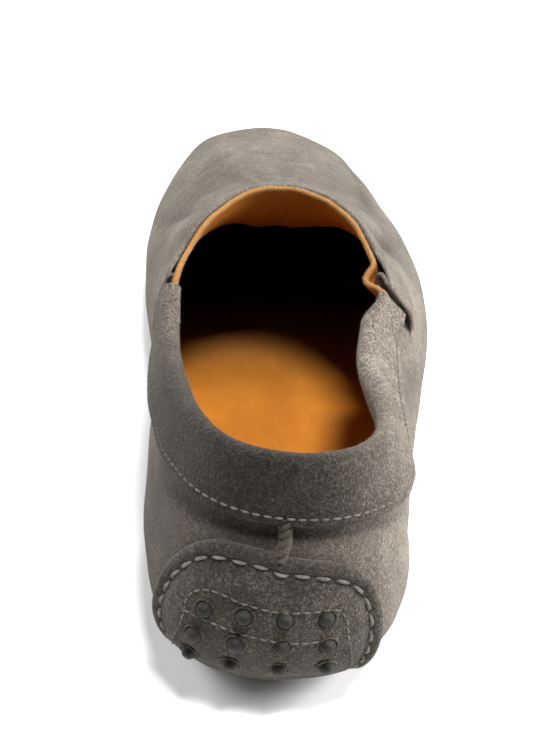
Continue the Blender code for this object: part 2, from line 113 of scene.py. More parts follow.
# At the pleat the lining's edge runs under the lip, turns in and goes out into the band's end.
# Columns: place from the pleat, way out from the plain lining in mm.
LINING_TURN = (
    (-1.00, 0.0), (-0.75, 0.3), (-0.50, 1.9), (-0.30, 2.9), (-0.19, 2.9), (-0.10, 1.3), (-0.03, -0.7),
    (0.05, -1.9), (0.14, -1.9), (0.24, -0.8), (0.34, 0.5), (0.46, 0.9), (0.65, 0.5), (1.00, 0.0),
)
# On the inner side it only moves out.
LINING_TURN_INNER, INNER_SPAN = 1.6, (-0.9, 0.6, 1.0, -0.9)
LINING_TURN_EASE = 0.86, 0.11
# Under the throat edge the lining hangs a little, by depth at a distance from the topline, and takes painted
# shade that deepens with depth.
LINING_SAG, LINING_SAG_AT, LINING_SHADE_EASE = 11.0 * MM, 14.0 * MM, (3.0 * MM, 14.0 * MM)
# Places on either side where the sag, the proud edge and the raw edge begin.
THROAT_EASE, PROUD_EASE, RAW_EDGE_PLACE = (6.2, 4.2), (5.5, 0.3), 5.5

# Soft troughs (-) and ridges (+). Columns: from place and level, to place and level, width and
# height in mm.
CREASES = (
    ("vamp_inner_fold", -7.6, 0.92, -6.9, 0.62, 5.0, -0.9),
    ("vamp_inner_roll", -8.2, 0.90, -7.4, 0.55, 6.0, 0.7),
    ("vamp_outer_fold", 7.5, 0.86, 6.9, 0.50, 5.0, -0.7),
    ("vamp_outer_roll", 6.9, 0.95, 6.4, 0.45, 6.0, 0.8),
    ("vamp_outer_seam", 11.3, 0.29, 10.6, 0.27, 3.6, -0.6),
    ("vamp_outer_line", 10.1, 0.28, 8.4, 0.60, 3.2, -1.0),
    ("vamp_outer_kink", 7.7, 0.50, 6.5, 0.88, 4.5, -1.1),
    ("vamp_inner_line", -8.2, 0.40, -7.9, 0.78, 4.0, -0.7),
    ("ball_flex", 8.6, 0.50, 10.6, 0.66, 6.0, -0.5),
    ("ball_flex_inner", -8.6, 0.50, -10.2, 0.64, 6.0, -0.5),
    ("waist_dent", 4.6, 0.40, 5.3, 0.10, 8.0, -0.9),
    ("waist_dent_inner", -4.4, 0.42, -5.2, 0.08, 8.0, -0.8),
    ("quarter_sag", 2.2, 0.42, 3.4, 0.26, 5.0, -0.6),
    ("quarter_roll", 2.0, 0.18, 3.6, 0.06, 7.0, 0.5),
    ("quarter_inner", -2.4, 0.46, -3.6, 0.28, 5.0, -0.6),
    ("heel_corner", 1.5, 0.52, 1.9, -0.10, 4.5, -0.5),
    ("heel_under_band", -2.6, 0.62, 2.2, 0.60, 3.0, -0.9),
    ("heel_seam_inner", -0.28, 0.58, -0.28, 0.42, 2.4, -0.4),
)
# Rough length of one place and of one level, in mm.
CREASE_SCALE = np.array((20.0, 42.0))
# A crease is shallow at its ends: least share, and stretch of half a wave that it follows.
CREASE_LEAST, CREASE_WAVE_START, CREASE_WAVE_RUN = 0.35, 0.12, 0.76
CALM_TOP_EASE, CALM_FOOT_EASE = (1.02, -0.15), (-1, 0.3)
# Faint waves all over the suede: height in mm, and turns by place and by level with the phase.
WAVE_HEIGHT, WAVE_ROUND, WAVE_UP, WAVE_EASE = 0.16, (2.9, 3.1, 0.0), (-0.9, 7.3, 0.0), (-0.8, 0.4)
RIPPLE_HEIGHT, RIPPLE = 0.10, (6.1, -5.0, 1.3)

# Points of a table drawn out, steps down a wall, rows round a rim; step for a direction, least lengths.
FINE_STEPS, WALL_STEPS, RIM_STEPS = 241, 121, 5
NORMAL_STEP, WELD, TINY = 1e-3, 2e-6, 1e-12


def ease(value, start, run):
    """Soft step from 0 to 1."""
    share = np.clip((value - start) / run, 0, 1)
    return share * share * (3 - 2 * share)


def span(value, start, start_run, end, end_run):
    """Soft step up and down again."""
    return ease(value, start, start_run) * ease(value, end, end_run)


def unit(vectors):
    """Vectors of length one."""
    return vectors / np.maximum(np.linalg.norm(vectors, axis=-1, keepdims=True), TINY)


def run_along(points):
    """Length along a line of points, at each of them."""
    return np.concatenate(([0], np.cumsum(np.linalg.norm(np.diff(points, axis=0), axis=1))))


def section_ring():
    """SECTIONS as a closed ring in metres: heel, outer side, toe, inner side."""
    ring = []
    for row, side in [(row, 1) for row in SECTIONS] + [(row, -1) for row in SECTIONS[-2:0:-1]]:
        size = dict(zip(SECTION_COLUMNS, row))
        way = "lateral" if side > 0 else "medial"
        ring.append((side * size["out_" + way], size["out_y"], size["bulge"], size["tuck"], size["rise"],
                     side * size["top_" + way], size["top_y"], size["top_z"] - side * size["cant"],
                     size["reach"], size["drop"]))
    return np.array(ring) * MM


RING = section_ring()


def catmull_rom(rows, part):
    """Catmull-Rom curve between the middle two of four rows."""
    a, b, c, d = rows
    return 0.5 * (2 * b + (c - a) * part + (2 * a - 5 * b + 4 * c - d) * part ** 2
                  + (3 * b - a - 3 * c + d) * part ** 3)


def drawn_out(rows, count):
    """Curve through all the rows, open at the ends, as an array of count points."""
    rows = np.asarray(rows, float)
    last = len(rows) - 1
    spot = np.linspace(0, last, count)
    here = np.clip(spot.astype(int), 0, last - 1)
    part = (spot - here)[:, None]
    return catmull_rom([rows[np.clip(here + step, 0, last)] for step in (-1, 0, 1, 2)], part)


PLEAT_FINE = drawn_out(PLEAT, FINE_STEPS)
LINING_FINE = drawn_out(LINING_TURN, FINE_STEPS)


def ring_values(place):
    """Section sizes at any place round the shoe."""
    place = place % RING_LENGTH
    row = np.floor(place).astype(int)
    part = (place - row)[..., None]
    return catmull_rom([RING[(row + step) % RING_LENGTH] for step in (-1, 0, 1, 2)], part)


def underside(y):
    """Height of the upper's underside at a distance from the heel."""
    arch = np.clip((y - ARCH_START) / (ARCH_END - ARCH_START), 0, 1)
    spring = np.clip((y - SPRING_START) / (TOE_Y - SPRING_START), 0, 1)
    return GROUND_CLEARANCE + ARCH_RISE * np.sin(math.pi * arch) ** 2 + TOE_SPRING * spring ** 2


def plain_point(place, level):
    """The last's outer surface."""
    place, level = np.broadcast_arrays(place, level)
    sizes = np.moveaxis(ring_values(place), -1, 0)
    out_x, out_y, bulge, tuck, rise, top_x, top_y, top_z, reach, drop = sizes
    widest = np.stack((out_x, out_y, bulge), -1)
    topline = np.stack((top_x, top_y, top_z), -1)
    outward = unit(widest[..., :2] - topline[..., :2])
    above = widest + np.stack((0 * rise, 0 * rise, rise), -1)
    below = topline + np.concatenate((outward * reach[..., None], -drop[..., None]), -1)
    s = np.clip(level, 0, 1)[..., None]
    wall = widest * (1 - s) ** 3 + 3 * above * s * (1 - s) ** 2
    wall = wall + 3 * below * s ** 2 * (1 - s) + topline * s ** 3
    centre_y = np.clip(out_y, HEEL_CENTRE_Y, TOE_CENTRE_Y)
    inward = unit(np.stack((-out_x, centre_y - out_y), -1))
    edge_z = underside((widest[..., :2] + inward * tuck[..., None])[..., 1])
    turn = np.clip(-level, 0, 1) * math.pi / 2
    under_xy = widest[..., :2] + inward * (tuck * (1 - np.cos(turn)))[..., None]
    under_z = bulge - (bulge - edge_z) * np.sin(turn)
    under = np.concatenate((under_xy, under_z[..., None]), -1)
    return np.where((level < 0)[..., None], under, wall)


def plain_normal(place, level):
    """Outward direction of the plain surface."""
    above, below = np.minimum(level + NORMAL_STEP, 1), np.maximum(level - NORMAL_STEP, -1)
    upward = plain_point(place, above) - plain_point(place, below)
    along = plain_point(place + NORMAL_STEP, level) - plain_point(place - NORMAL_STEP, level)
    return unit(np.cross(along, upward))


def last_point(place, level, offset):
    """Point off the plain surface by offset."""
    return plain_point(place, level) + plain_normal(place, level) * np.asarray(offset)[..., None]


def signed_place(place):
    """Place from -12 to 12: outer side positive, inner side negative."""
    return (place + TOE_PLACE) % RING_LENGTH - TOE_PLACE


def pleat_strength(place, level):
    """How far the pleat is folded, and its place at this level."""
    share = np.where(signed_place(place) >= 0, 1, PLEAT_INNER_SHARE)
    centre = PLEAT_PLACE - PLEAT_BEND * ease(level, *PLEAT_BEND_EASE)
    return share * ease(level, *PLEAT_FOOT_EASE), centre


def folded(place, level):
    """Place and lift on the wall after the pleat at each throat corner is folded."""
    signed = signed_place(place)
    side = np.where(signed >= 0, 1.0, -1.0)
    strength, centre = pleat_strength(place, level)
    flat = np.abs(signed) - centre
    moved = np.interp(flat, PLEAT_FINE[:, 0], PLEAT_FINE[:, 1])
    lift = np.interp(flat, PLEAT_FINE[:, 0], PLEAT_FINE[:, 2]) * MM
    within = (flat > PLEAT[0][0]) & (flat < PLEAT[-1][0])
    shift = np.where(within, (moved - flat) * strength, 0)
    return place + side * shift, np.where(within, lift * strength, 0)


def wave(place, level, turns):
    """Wave over the wall."""
    by_place, by_level, phase = turns
    return np.sin(place * by_place + by_level * level + phase)


def crease_shift(place, level):
    """Soft folds of the suede, in metres outwards."""
    signed = signed_place(place)
    total = 0.0
    spot = np.stack((signed, level), -1) * CREASE_SCALE
    for _, p0, l0, p1, l1, width, height in CREASES:
        start, end = np.array((p0, l0)) * CREASE_SCALE, np.array((p1, l1)) * CREASE_SCALE
        run = end - start
        along = np.clip(((spot - start) @ run) / (run @ run), 0, 1)
        away = np.linalg.norm(spot - start - along[..., None] * run, axis=-1)
        half_wave = np.sin(math.pi * (CREASE_WAVE_START + CREASE_WAVE_RUN * along))
        fade = CREASE_LEAST + (1 - CREASE_LEAST) * half_wave
        total = total + height * fade * np.exp(-(away / width) ** 2)
    waves = WAVE_HEIGHT * wave(signed, level, WAVE_ROUND) * wave(signed, level, WAVE_UP)
    waves = waves + RIPPLE_HEIGHT * wave(signed, level, RIPPLE)
    return (total + waves * ease(level, *WAVE_EASE)) * MM


def suede_point(place, level):
    """Outer suede with its pleats and creases."""
    place, level = np.broadcast_arrays(place, level)
    moved, lift = folded(place, level)
    calm = ease(level, *CALM_TOP_EASE) * ease(level, *CALM_FOOT_EASE)
    return last_point(moved, level, lift + crease_shift(place, level) * calm)


def lining_point(place, level, offset):
    """Lining, which hooks behind each pleat."""
    signed = signed_place(place)
    strength, centre = pleat_strength(place, level)
    flat = np.abs(signed) - centre
    within = np.abs(flat) < LINING_TURN[-1][0]
    outer_turn = np.interp(flat, LINING_FINE[:, 0], LINING_FINE[:, 1]) * within
    turn = np.where(signed >= 0, outer_turn, LINING_TURN_INNER * span(flat, *INNER_SPAN)) * MM
    return last_point(place, level, offset + turn * strength * ease(level, *LINING_TURN_EASE))


def level_below_topline(places, distance):
    """Level on the wall at a distance down from the topline, for each place."""
    levels = np.linspace(1, 0, WALL_STEPS)
    points = plain_point(places[:, None], levels[None, :])
    wanted = np.broadcast_to(distance, places.shape)
    return np.array([np.interp(d, run_along(row), levels) for d, row in zip(wanted, points)])


# The heel's wall as a table, worked out once: its level for each of these places and heights.
HEEL_PLACES = np.linspace(-2.6, 2.6, 105)
HEEL_HEIGHTS = np.linspace(8, 62, 109) * MM
HEEL_LEVELS = np.linspace(-1, 0.95, 391)
HEEL_WALLS = plain_point(HEEL_PLACES[:, None], HEEL_LEVELS[None, :])[..., 2]
HEEL_TABLE = np.array([np.interp(HEEL_HEIGHTS, wall, HEEL_LEVELS) for wall in HEEL_WALLS])
TABLE_MARGIN = 1.001


def table_spot(values, axis):
    """Whole and broken part of the row number of values on an even axis."""
    spot = np.clip((values - axis[0]) / (axis[1] - axis[0]), 0, len(axis) - TABLE_MARGIN)
    whole = spot.astype(int)
    return whole, spot - whole


def levels_at_height(places, heights):
    """Level on the wall of the heel where it stands at a height, for arrays of one shape."""
    r, u = table_spot(places, HEEL_PLACES)
    c, v = table_spot(heights, HEEL_HEIGHTS)
    return ((1 - u) * ((1 - v) * HEEL_TABLE[r, c] + v * HEEL_TABLE[r, c + 1])
            + u * ((1 - v) * HEEL_TABLE[r + 1, c] + v * HEEL_TABLE[r + 1, c + 1]))


def grid_faces(rows, columns, closed_columns, closed_rows):
    """Quads of a grid, as an array."""
    r = np.arange(rows if closed_rows else rows - 1)[:, None]
    c = np.arange(columns if closed_columns else columns - 1)[None, :]
    after, above = (c + 1) % columns, (r + 1) % rows
    quads = np.stack(np.broadcast_arrays(r * columns + c, r * columns + after,
                                         above * columns + after, above * columns + c), -1)
    return quads.reshape(-1, 4)


def put(name, data):
    """New object in the scene."""
    item = bpy.data.objects.new(name, data)
    bpy.context.scene.collection.objects.link(item)
    return item


def make_piece(name, vertices, faces, material, merge=False):
    """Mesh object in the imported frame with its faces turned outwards."""
    mesh = bpy.data.meshes.new(name)
    mesh.from_pydata((vertices + SHIFT).tolist(), [], [tuple(map(int, f)) for f in faces])
    mesh.materials.append(material)
    work = bmesh.new()
    work.from_mesh(mesh)
    if merge:
        bmesh.ops.remove_doubles(work, verts=work.verts, dist=WELD)
    bmesh.ops.recalc_face_normals(work, faces=work.faces)
    work.to_mesh(mesh)
    work.free()
    mesh.polygons.foreach_set("use_smooth", np.ones(len(mesh.polygons), bool))
    return put(name, mesh)


def make_shell(name, loop, material):
    """Piece that is closed round the shoe and round its section."""
    rows, columns = loop.shape[:2]
    return make_piece(name, loop.reshape(-1, 3), grid_faces(rows, columns, True, True), material)


def mark_shell(piece, name, wall, rim):
    """Named number on each vertex of a shell: for the rows of its wall, out and in, and for its rim."""
    values = np.concatenate((wall, np.broadcast_to(rim, (RIM_STEPS, wall.shape[1])), wall[::-1]))
    data = piece.data.attributes.new(name, 'FLOAT', 'POINT').data
    data.foreach_set("value", np.ravel(values).astype(np.float32))


def make_sheet(name, outer, inner, material):
    """Closed sheet between two grids of points of one shape."""
    rows, columns = outer.shape[:2]
    back = rows * columns
    ids = np.arange(back).reshape(rows, columns)
    quads = grid_faces(rows, columns, False, False)
    border = np.concatenate((ids[0, :-1], ids[:-1, -1], ids[-1, :0:-1], ids[:0:-1, 0]))
    faces = quads.tolist() + (quads[:, ::-1] + back).tolist()
    faces += [(a, b, b + back, a + back) for a, b in zip(border, np.roll(border, -1))]
    vertices = np.concatenate((outer.reshape(-1, 3), inner.reshape(-1, 3)))
    return make_piece(name, vertices, faces, material, merge=True)


def dress(piece, slot, *nodes):
    """The piece rides on the shoe and stands for CAD nodes, which it hides; slot is not used."""
    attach(piece, "root")
    if nodes:
        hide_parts(*nodes)
    return piece


def wall_loop(outer, thickness, rise=0.0):
    """Rows once round the section of a shell: outside upwards, round the rim, inside downwards."""
    along = np.roll(outer, -1, 1) - np.roll(outer, 1, 1)
    normals = unit(np.cross(along, np.gradient(outer, axis=0)))
    up = unit(outer[-1] - outer[-2])
    half = thickness / 2
    middle = outer[-1] - normals[-1] * half + up * rise
    rim = [middle + normals[-1] * (half * math.cos(a)) + up * (half * math.sin(a))
           for a in np.linspace(0, math.pi, RIM_STEPS + 2)[1:-1]]
    inner = (outer - normals * thickness)[::-1]
    return np.concatenate((outer, np.array(rim), inner))


# Mesh columns for one place, and the stretch on either side where they are close.
COARSE_COLUMNS, FINE_COLUMNS, FINE_START, FINE_END = 14, 60, 4.9, 6.9
# Mesh rows by level.
UPPER_LEVELS = np.concatenate((np.linspace(-1, 0, 15)[:-1], np.linspace(0, 1, 46)))
LINING_LEVELS = np.concatenate((np.linspace(-0.95, 0, 9)[:-1], np.linspace(0, 0.8, 20)[:-1],
                                np.linspace(0.8, 1, 16)))


def column_places():
    """Mesh columns round the shoe, close together at the pleats."""
    coarse = np.linspace(0, TOE_PLACE, TOE_PLACE * COARSE_COLUMNS + 1)
    coarse = coarse[(coarse < FINE_START) | (coarse > FINE_END)]
    fine = np.arange(FINE_START, FINE_END, 1 / FINE_COLUMNS)
    side = np.unique(np.concatenate((coarse, fine)).round(5))
    return np.concatenate((side, RING_LENGTH - side[-2:0:-1]))


def build_upper(suede):
    """Outer suede of the upper: an open shell with pleats at the throat corners."""
    places = column_places()
    before = PLEAT_PLACE - signed_place(places)
    cut = PLEAT_CUT * span(before, *CUT_SPAN)
    levels = UPPER_LEVELS[:, None] - np.maximum(UPPER_LEVELS, 0)[:, None] * cut[None, :]
    outer = suede_point(places[None, :], levels)
    piece = make_shell("upper_suede", wall_loop(outer, SUEDE_THICKNESS), suede)
    # Crease height on each vertex, which the suede's colour uses for painted shade in troughs and painted
    # highlight on ridges.
    fold = crease_shift(np.broadcast_to(places, levels.shape), levels) / MM
    mark_shell(piece, "fold", fold, 0.0)
    return dress(piece, "suede", "upper")


def build_lining(leather):
    """Leather lining inside the suede, standing a little proud round the throat."""
    places = column_places()
    side = np.abs(signed_place(places))
    levels = LINING_LEVELS[:, None]
    flat = lining_point(places[None, :], levels, LINING_OUT)
    steps = np.linalg.norm(np.diff(flat, axis=0), axis=2)
    depth = np.concatenate((np.cumsum(steps[::-1], axis=0)[::-1], np.zeros((1, len(places)))))
    hang = (depth / LINING_SAG_AT * np.exp(1 - depth / LINING_SAG_AT)) ** 2
    throat = ease(side, *THROAT_EASE)
    sagging = LINING_OUT - LINING_SAG * hang * throat[None, :]
    outer = lining_point(places[None, :], levels, sagging)
    proud = LINING_PROUD * ease(side, *PROUD_EASE)
    piece = make_shell("lining", wall_loop(outer, LINING_OUT - LINING_IN, proud[:, None]), leather)
    # Painted shade: the lining's colour darkens with depth under the throat edge.
    mark_shell(piece, "painted_lit", 1 - ease(depth, *LINING_SHADE_EASE) * throat, 1.0)
    mark_shell(piece, "raw_edge", 0 * depth, (side > RAW_EDGE_PLACE).astype(float))
    return dress(piece, "tan_leather")


# Collar band. Its seam and shapes across go by the share of its height from the lower edge.
BAND_PLACES = np.linspace(-5.60, 5.60, 281)
BAND_HEIGHT, BAND_FALL, BAND_FALL_RUN = 12.8 * MM, 0.6 * MM, 1.5
BAND_REACH, BAND_MIDDLE, BAND_THICKNESS, BAND_THIN_SHARE = 2.7 * MM, 1.2 * MM, 1.2 * MM, 0.7
BAND_SEAM, BAND_GROOVE, BAND_GROOVE_WIDTH, BAND_PUFF = 0.12, 0.35 * MM, 0.06, 0.5 * MM
BAND_EDGE, BAND_EDGE_EASE, BAND_SHARES = 0.9 * MM, (0.1, 0.5), np.linspace(0.12, 0.97, 15)
# Its lower edge stands off the outer flank, less and less up to a share of the height.
BAND_FLARE, FLARE_SPAN, FLARE_SHARE = 1.6 * MM, (1.0, 0.8, 5.2, -1.2), 0.7
# At its ends the band thins and turns out, under the lip of the pleat.
BAND_TAPER, BAND_TURN_OUT, BAND_INNER_SHARE, BAND_TURN_EASE = 1.5 * MM, 2.3 * MM, 0.15, (4.95, 0.6)
# Cut lower edge. Columns: way down past the band's height, way out from the wall or the edge, in mm.
BAND_CUT_AT_WALL = ((-0.30, 0.35), (0.15, 0.8))
BAND_CUT_AT_EDGE = ((0.25, -0.5), (-0.05, 0.0), (-0.7, 0.1))
# Inner leg: length, share lost at the ends, rows, edge. Then the roll's angles in degrees.
BAND_TURN_IN, BAND_TURN_IN_LOSS, BAND_IN_SHARES, BAND_IN_EDGE = 5 * MM, 0.8, (0.16, 0.4, 0.7, 0.92), 0.4 * MM
ROLL_START, ROLL_END, ROLL_ROWS, ROLL_ROWS_IN = 12, 168, 12, 8
BAND_BACK_SHARE, BAND_UP_LEVEL = 0.6, 0.97


def band_height(places):
    """Height of the band's outer leg, a little more on the outer side."""
    return BAND_HEIGHT + BAND_FALL * np.clip(places / BAND_FALL_RUN, -1, 1)


def band_turn(places):
    """How far the band has turned out towards its ends, from 0 to 1."""
    share = np.where(places >= 0, 1.0, BAND_INNER_SHARE)
    return share * ease(np.abs(places), *BAND_TURN_EASE)


def band_section(places):
    """Offset of the band's ridge from the wall, and reach of its roll to either side."""
    turn = band_turn(places)
    return BAND_TURN_OUT * turn - BAND_MIDDLE, BAND_REACH - BAND_TAPER * turn


def band_point(places, levels, offset):
    """Point over the wall where the band lies."""
    return last_point(places, levels, offset + crease_shift(places, levels) * ease(levels, *CALM_TOP_EASE))


def band_flare(places, share):
    """How far the outer leg stands off the outer flank."""
    return BAND_FLARE * span(places, *FLARE_SPAN) * (1 - ease(share, 0, FLARE_SHARE))


def band_outside(places, share):
    """Offset of the outer leg from the wall."""
    ridge, reach = band_section(places)
    groove = BAND_GROOVE * math.exp(-((share - BAND_SEAM) / BAND_GROOVE_WIDTH) ** 2)
    edge = BAND_EDGE * (1 - ease(share, *BAND_EDGE_EASE))
    puff = edge + BAND_PUFF * math.sin(math.pi * share) ** 2 - groove
    return ridge + reach + puff + band_flare(places, share)


def build_collar_band(suede):
    """Folded suede band: outer leg with a cut lower edge, soft roll over the topline, inner leg."""
    places = BAND_PLACES
    top_level = np.ones_like(places)
    top = band_point(places, top_level, 0)
    out = plain_normal(places, top_level)
    up = unit(top - band_point(places, BAND_UP_LEVEL * top_level, 0))
    ridge_offset, reach = band_section(places)
    ridge = top + out * ridge_offset[:, None]
    outside, inside = ridge_offset + reach, ridge_offset - reach
    thickness = np.minimum(BAND_THICKNESS, BAND_THIN_SHARE * reach)

    def leg(distance, offset):
        return band_point(places, level_below_topline(places, distance), offset)

    def roll(radius, start, end, count):
        return [ridge + (out * math.cos(a) + up * math.sin(a)) * radius[:, None]
                for a in np.radians(np.linspace(start, end, count))]

    tall = band_height(places)
    edge = outside + BAND_EDGE + band_flare(places, 0)
    rows = [leg(tall + down * MM, way * MM) for down, way in BAND_CUT_AT_WALL]
    rows += [leg(tall + down * MM, edge + way * MM) for down, way in BAND_CUT_AT_EDGE]
    rows += [leg(tall * (1 - share), band_outside(places, share)) for share in BAND_SHARES]
    rows += roll(reach, ROLL_START, ROLL_END, ROLL_ROWS)
    turn_in = BAND_TURN_IN * (1 - BAND_TURN_IN_LOSS * band_turn(places))
    rows += [leg(turn_in * share, inside) for share in BAND_IN_SHARES]
    rows += [leg(turn_in, inside + BAND_IN_EDGE), leg(turn_in, inside + thickness)]
    rows += roll(reach - thickness, ROLL_END, ROLL_START, ROLL_ROWS_IN)
    rows.append(leg(tall * BAND_BACK_SHARE, outside - thickness))
    grid = np.array(rows)
    count, columns = grid.shape[:2]
    faces = grid_faces(count, columns, False, True).tolist()
    faces += [[row * columns + column for row in range(count)] for column in (0, columns - 1)]
    piece = make_piece("collar_band_suede", grid.reshape(-1, 3), faces, suede)
    return dress(piece, "suede_band", "collar_band")


# Cut edge of the heel patch from the outer side over the top to the inner side. Columns: place, height in mm.
PATCH_OUTLINE = (
    (1.06, 9.0), (1.08, 19.0), (1.08, 29.5), (1.05, 35.0), (0.97, 40.0), (0.82, 43.8), (0.62, 46.2),
    (0.36, 47.7), (0.05, 48.7), (-0.22, 49.6), (-0.50, 50.3), (-0.80, 50.1), (-1.08, 48.1), (-1.32, 44.3),
    (-1.56, 38.2), (-1.73, 29.0), (-1.77, 19.0), (-1.76, 9.0),
)
PATCH_STEPS, PATCH_COLUMNS = 500, 361
PATCH_MIDDLE, PATCH_HEART, PATCH_CLIMB = -0.34, 33 * MM, 1.6
NOTCH_PLACE, NOTCH_WIDTH, NOTCH_DEPTH, NOTCH_ABOVE = -0.05, 0.06, 0.5 * MM, 40 * MM
PLACE_LENGTH = 20.6 * MM
# Rise of the patch above the wall. Columns: distance in from its cut edge, height, in millimetres.
PATCH_PROFILE = (
    (0.0, 0.35), (-0.08, 0.9), (0.0, 1.5), (0.25, 2.0), (0.8, 2.35), (1.5, 2.45), (2.1, 2.3), (2.6, 1.85),
    (3.0, 1.35), (3.5, 1.2), (4.1, 1.35), (5.0, 1.65), (6.5, 1.85), (9.0, 1.95),
)
PATCH_RIM_ROW, PATCH_CLOSING = 2, (0.2, 0.4, 0.6, 0.8, 1.0)
PATCH_FIELD, PATCH_UNDER = 1.95 * MM, 0.25 * MM


def read_along(spots, run, values):
    """Rows of values read off at lengths along their line."""
    return np.stack([np.interp(spots, run, column) for column in values.T], -1)


def patch_contour(inset):
    """Outline of the patch moved in by inset metres: places and heights."""
    line = drawn_out(PATCH_OUTLINE, PATCH_STEPS) * (PLACE_LENGTH, MM)
    notch = np.exp(-((line[:, 0] / PLACE_LENGTH - NOTCH_PLACE) / NOTCH_WIDTH) ** 2)
    line[:, 1] -= NOTCH_DEPTH * notch * (line[:, 1] > NOTCH_ABOVE)
    run = run_along(line)
    line = read_along(np.linspace(0, run[-1], PATCH_COLUMNS), run, line)
    ahead = unit(np.gradient(line, axis=0))
    line = line + np.stack((-ahead[:, 1], ahead[:, 0]), -1) * inset
    return line[:, 0] / PLACE_LENGTH, line[:, 1]


def patch_point(places, heights, rise):
    """Point over the heel wall at a place and height."""
    levels = levels_at_height(places, heights)
    return last_point(places, levels, rise + crease_shift(places, levels))


def build_heel_patch(suede):
    """Suede patch on the heel: raised rim with a cut edge, sewn valley, soft field closed in its middle."""
    rings = [patch_contour(inset * MM) for inset, _ in PATCH_PROFILE]
    rises = [rise * MM for _, rise in PATCH_PROFILE]
    places, heights = rings[-1]
    count = len(places)
    climb = np.minimum(np.arange(count), np.arange(count)[::-1]) / (count // 2)
    heart = heights[0] + (PATCH_HEART - heights[0]) * np.minimum(PATCH_CLIMB * climb, 1)
    for share in PATCH_CLOSING:
        rings.append((places + (PATCH_MIDDLE - places) * share, heights + (heart - heights) * share))
        rises.append(PATCH_FIELD)
    outer = np.array([patch_point(p, h, rise) for (p, h), rise in zip(rings, rises)])
    inner = np.array([patch_point(p, h, PATCH_UNDER) for p, h in rings])
    return dress(make_sheet("heel_patch_suede", outer, inner, suede), "suede", "heel_patch")


# Back tab: middle and half width in places, then heights, rise, bend of its foot and twist, and its mesh.
TAB_MIDDLE, TAB_HALF, TAB_LOW, TAB_HIGH = -0.04, 0.10, 48.0 * MM, 57.0 * MM
TAB_RISE, TAB_LEAST, TAB_UNDER = 2.5 * MM, 0.02, 0.1 * MM
TAB_BEND, TAB_BEND_EASE, TAB_TWIST, TAB_PITCH = 0.05, (51.5 * MM, -3 * MM), 0.16, 1.9 * MM
TAB_COLUMNS, TAB_ROWS = 17, 41


def build_back_tab(suede):
    """Round, twisted strip on the back seam between the patch and the band."""
    share, heights = np.meshgrid(np.linspace(-1, 1, TAB_COLUMNS), np.linspace(TAB_LOW, TAB_HIGH, TAB_ROWS))
    middle = TAB_MIDDLE - TAB_BEND * ease(heights, *TAB_BEND_EASE)
    twist = 1 + TAB_TWIST * np.sin(2 * math.pi * (heights / TAB_PITCH - 0.5 * share))
    rise = TAB_RISE * np.sqrt(np.clip(1 - share ** 2, TAB_LEAST, 1)) * twist
    places = middle + share * TAB_HALF
    outer, inner = patch_point(places, heights, rise), patch_point(places, heights, TAB_UNDER)
    return dress(make_sheet("back_tab_suede", outer, inner, suede), "suede", "back_tab")


# Mesh columns of the bottom for one place, rings under the shoe outside and inside, rows at the edges.
BOTTOM_COLUMNS, BOTTOM_RINGS, BOTTOM_RINGS_IN, SOLE_ROWS, INSOLE_ROWS = 12, 10, 6, 9, 8
SOLE_EDGE_ANGLES, SOLE_EDGE_LIFT = (50, 90, 130), 0.035
INSOLE_EDGE_LIFT, INSOLE_EDGE_DROP = 0.02, 0.5 * MM


def spine(places):
    """Middle line of the bottom from above, which closes the rings of the sole and the insole."""
    y = np.clip(ring_values(places)[:, 1], HEEL_CENTRE_Y, TOE_CENTRE_Y)
    dense = np.linspace(0, TOE_PLACE, FINE_STEPS)
    outer, inner = ring_values(dense), ring_values(-dense)
    x = 0.5 * (np.interp(y, outer[:, 1], outer[:, 0]) + np.interp(y, inner[:, 1], inner[:, 0]))
    return np.stack((x, y, 0 * y), -1)


def bottom_rows(places, levels, offset, steps):
    """Rings from the given levels down to the lasting edge and on to the spine."""
    rows = [last_point(places, level, offset) for level in levels]
    edge = rows[-1]
    middle = spine(places)
    for share in np.linspace(0, 1, steps + 1)[1:]:
        ring = edge + (middle - edge) * share
        ring[:, 2] = underside(ring[:, 1]) - offset
        rows.append(ring)
    return rows


def make_bottom(name, levels, first, edge, second, material):
    """Closed bottom between two offsets: out from the spine, over the edge rows, back to the spine."""
    places = np.arange(0, RING_LENGTH, 1 / BOTTOM_COLUMNS)
    rows = bottom_rows(places, levels, first, BOTTOM_RINGS_IN)[::-1]
    rows += [last_point(places, level, offset) for level, offset in edge]
    grid = np.array(rows + bottom_rows(places, levels, second, BOTTOM_RINGS))
    faces = grid_faces(len(grid), len(places), True, False)
    return make_piece(name, grid.reshape(-1, 3), faces, material, merge=True)


def build_sole(suede):
    """Thin suede bottom that cups the lasting edge."""
    middle, half = (SOLE_IN + SOLE_OUT) / 2, (SOLE_OUT - SOLE_IN) / 2
    edge = [(SOLE_EDGE_LEVEL + SOLE_EDGE_LIFT * math.sin(angle), middle - half * math.cos(angle))
            for angle in np.radians(SOLE_EDGE_ANGLES)]
    levels = np.linspace(SOLE_EDGE_LEVEL, -1, SOLE_ROWS)
    return dress(make_bottom("sole_suede", levels, SOLE_IN, edge, SOLE_OUT, suede), "suede_sole", "sole")


def build_insole(leather):
    """Leather sock inside, with a soft edge against the lining."""
    edge = [(INSOLE_EDGE_LEVEL + INSOLE_EDGE_LIFT, INSOLE_LOW - INSOLE_EDGE_DROP)]
    levels = np.linspace(INSOLE_EDGE_LEVEL, -1, INSOLE_ROWS)
    piece = make_bottom("insole_leather", levels, INSOLE_LOW, edge, INSOLE_HIGH, leather)
    return dress(piece, "tan_leather", "insole")


